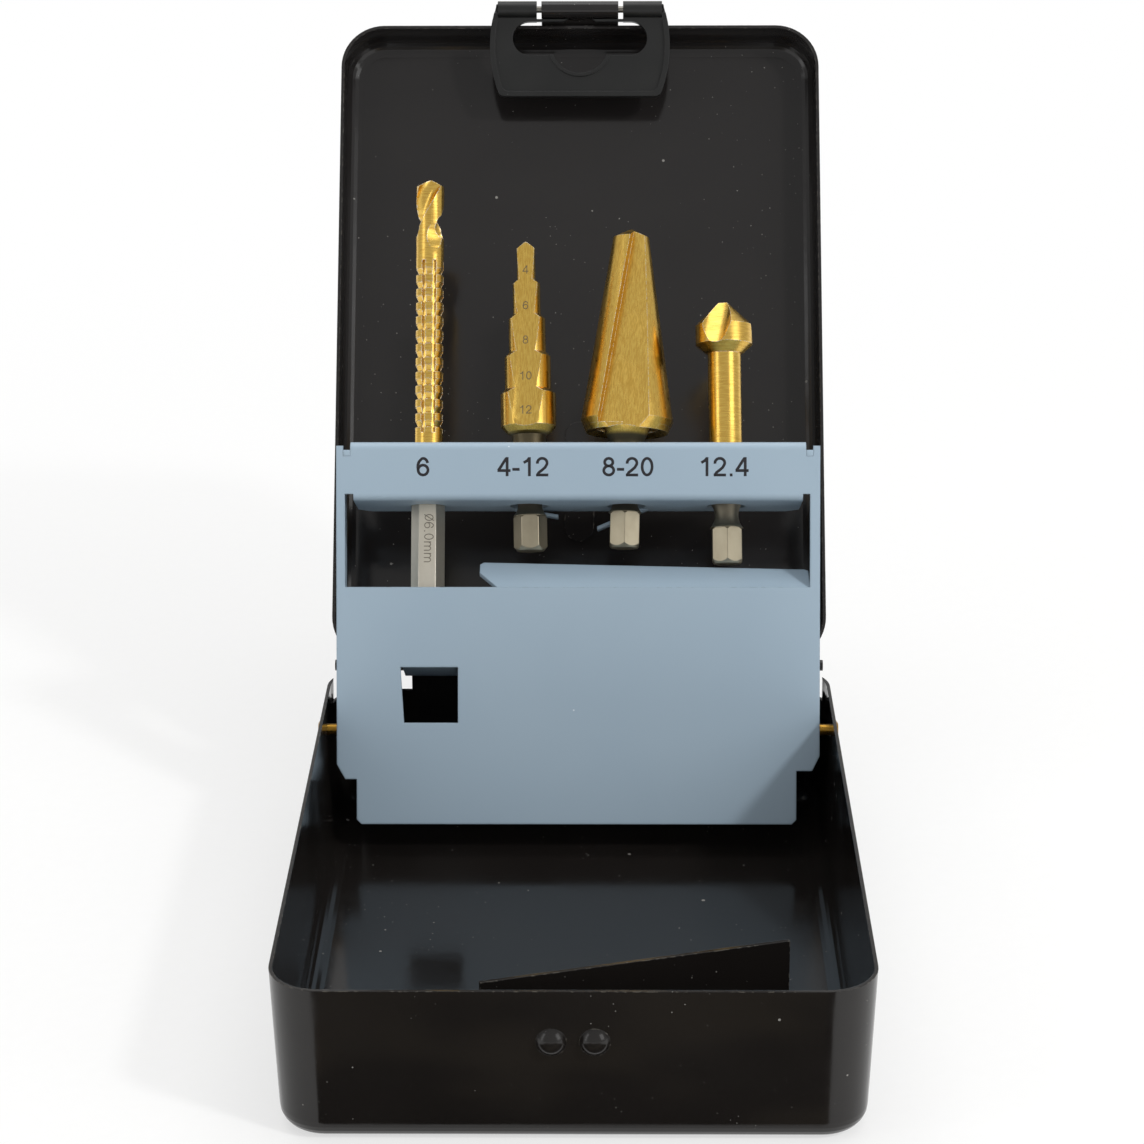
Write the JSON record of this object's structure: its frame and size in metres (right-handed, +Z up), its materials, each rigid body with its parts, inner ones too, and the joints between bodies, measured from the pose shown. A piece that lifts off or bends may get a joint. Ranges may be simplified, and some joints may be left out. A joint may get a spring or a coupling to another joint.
{
  "type": "drill bit case",
  "caption": "Open sheet metal case with hinged lid, pull latch and a tilting rack that holds hexagon shank drill bits.",
  "frame": {"origin": "centre of the flat underside of the tray", "axes": "+X to the right seen from the front, +Y from the front wall to the hinge, +Z up; the part is stored open"},
  "size_m": [0.1114, 0.2357, 0.1638],
  "materials": {
    "black_paint": "gloss",
    "rack_paint": "satin",
    "latch_plastic": "satin",
    "rivet_brass": "polished",
    "pin_steel": "satin",
    "bit_steel": "gold nitride coated steel with bare shanks"
  },
  "bodies": {
    "tray": {"tray": "black_paint", "tip_stop": "black_paint", "rivet_left": "rivet_brass", "rivet_right": "rivet_brass", "hinge_pin": "pin_steel"},
    "lid": {"lid": "black_paint", "latch_bracket": "black_paint"},
    "latch": {"latch": "latch_plastic", "latch_pin": "pin_steel"},
    "rack": {"rack": "rack_paint"},
    "saw_drill": {"saw_drill": "bit_steel"},
    "step_drill": {"step_drill": "bit_steel"},
    "cone_drill": {"cone_drill": "bit_steel"},
    "countersink": {"countersink": "bit_steel"}
  },
  "joints": [
    {"name": "lid_hinge", "type": "hinge", "parent": "tray", "child": "lid", "pos_m": [0, 0.075, 0.0316], "axis": [1, 0, 0], "range_deg": [0, 121.9]},
    {"name": "rack_pivot", "type": "hinge", "parent": "tray", "child": "rack", "pos_m": [0, 0.0523, 0.0261], "axis": [1, 0, 0], "range_deg": [0, 116.1]},
    {"name": "latch_pivot", "type": "hinge", "parent": "lid", "child": "latch", "pos_m": [0, 0.15313, 0.16185], "axis": [1, 0, 0], "range_deg": [-101, 0]},
    {"name": "saw_drill_slide", "type": "slide", "parent": "rack", "child": "saw_drill", "axis": [0, -0.4664, -0.8846], "range_m": [-0.045, 0]},
    {"name": "step_drill_slide", "type": "slide", "parent": "rack", "child": "step_drill", "axis": [0.0192, -0.4663, -0.8844], "range_m": [-0.025, 0]},
    {"name": "cone_drill_slide", "type": "slide", "parent": "rack", "child": "cone_drill", "axis": [-0.0227, -0.4663, -0.8844], "range_m": [-0.025, 0]},
    {"name": "countersink_slide", "type": "slide", "parent": "rack", "child": "countersink", "axis": [0.0096, -0.4664, -0.8845], "range_m": [-0.028, 0]}
  ],
  "couplings": [
    {"joint": "rack_pivot", "follows": "lid_hinge", "ratio": 0.9516},
    {"joint": "latch_pivot", "follows": "lid_hinge", "ratio": -0.82773}
  ]
}
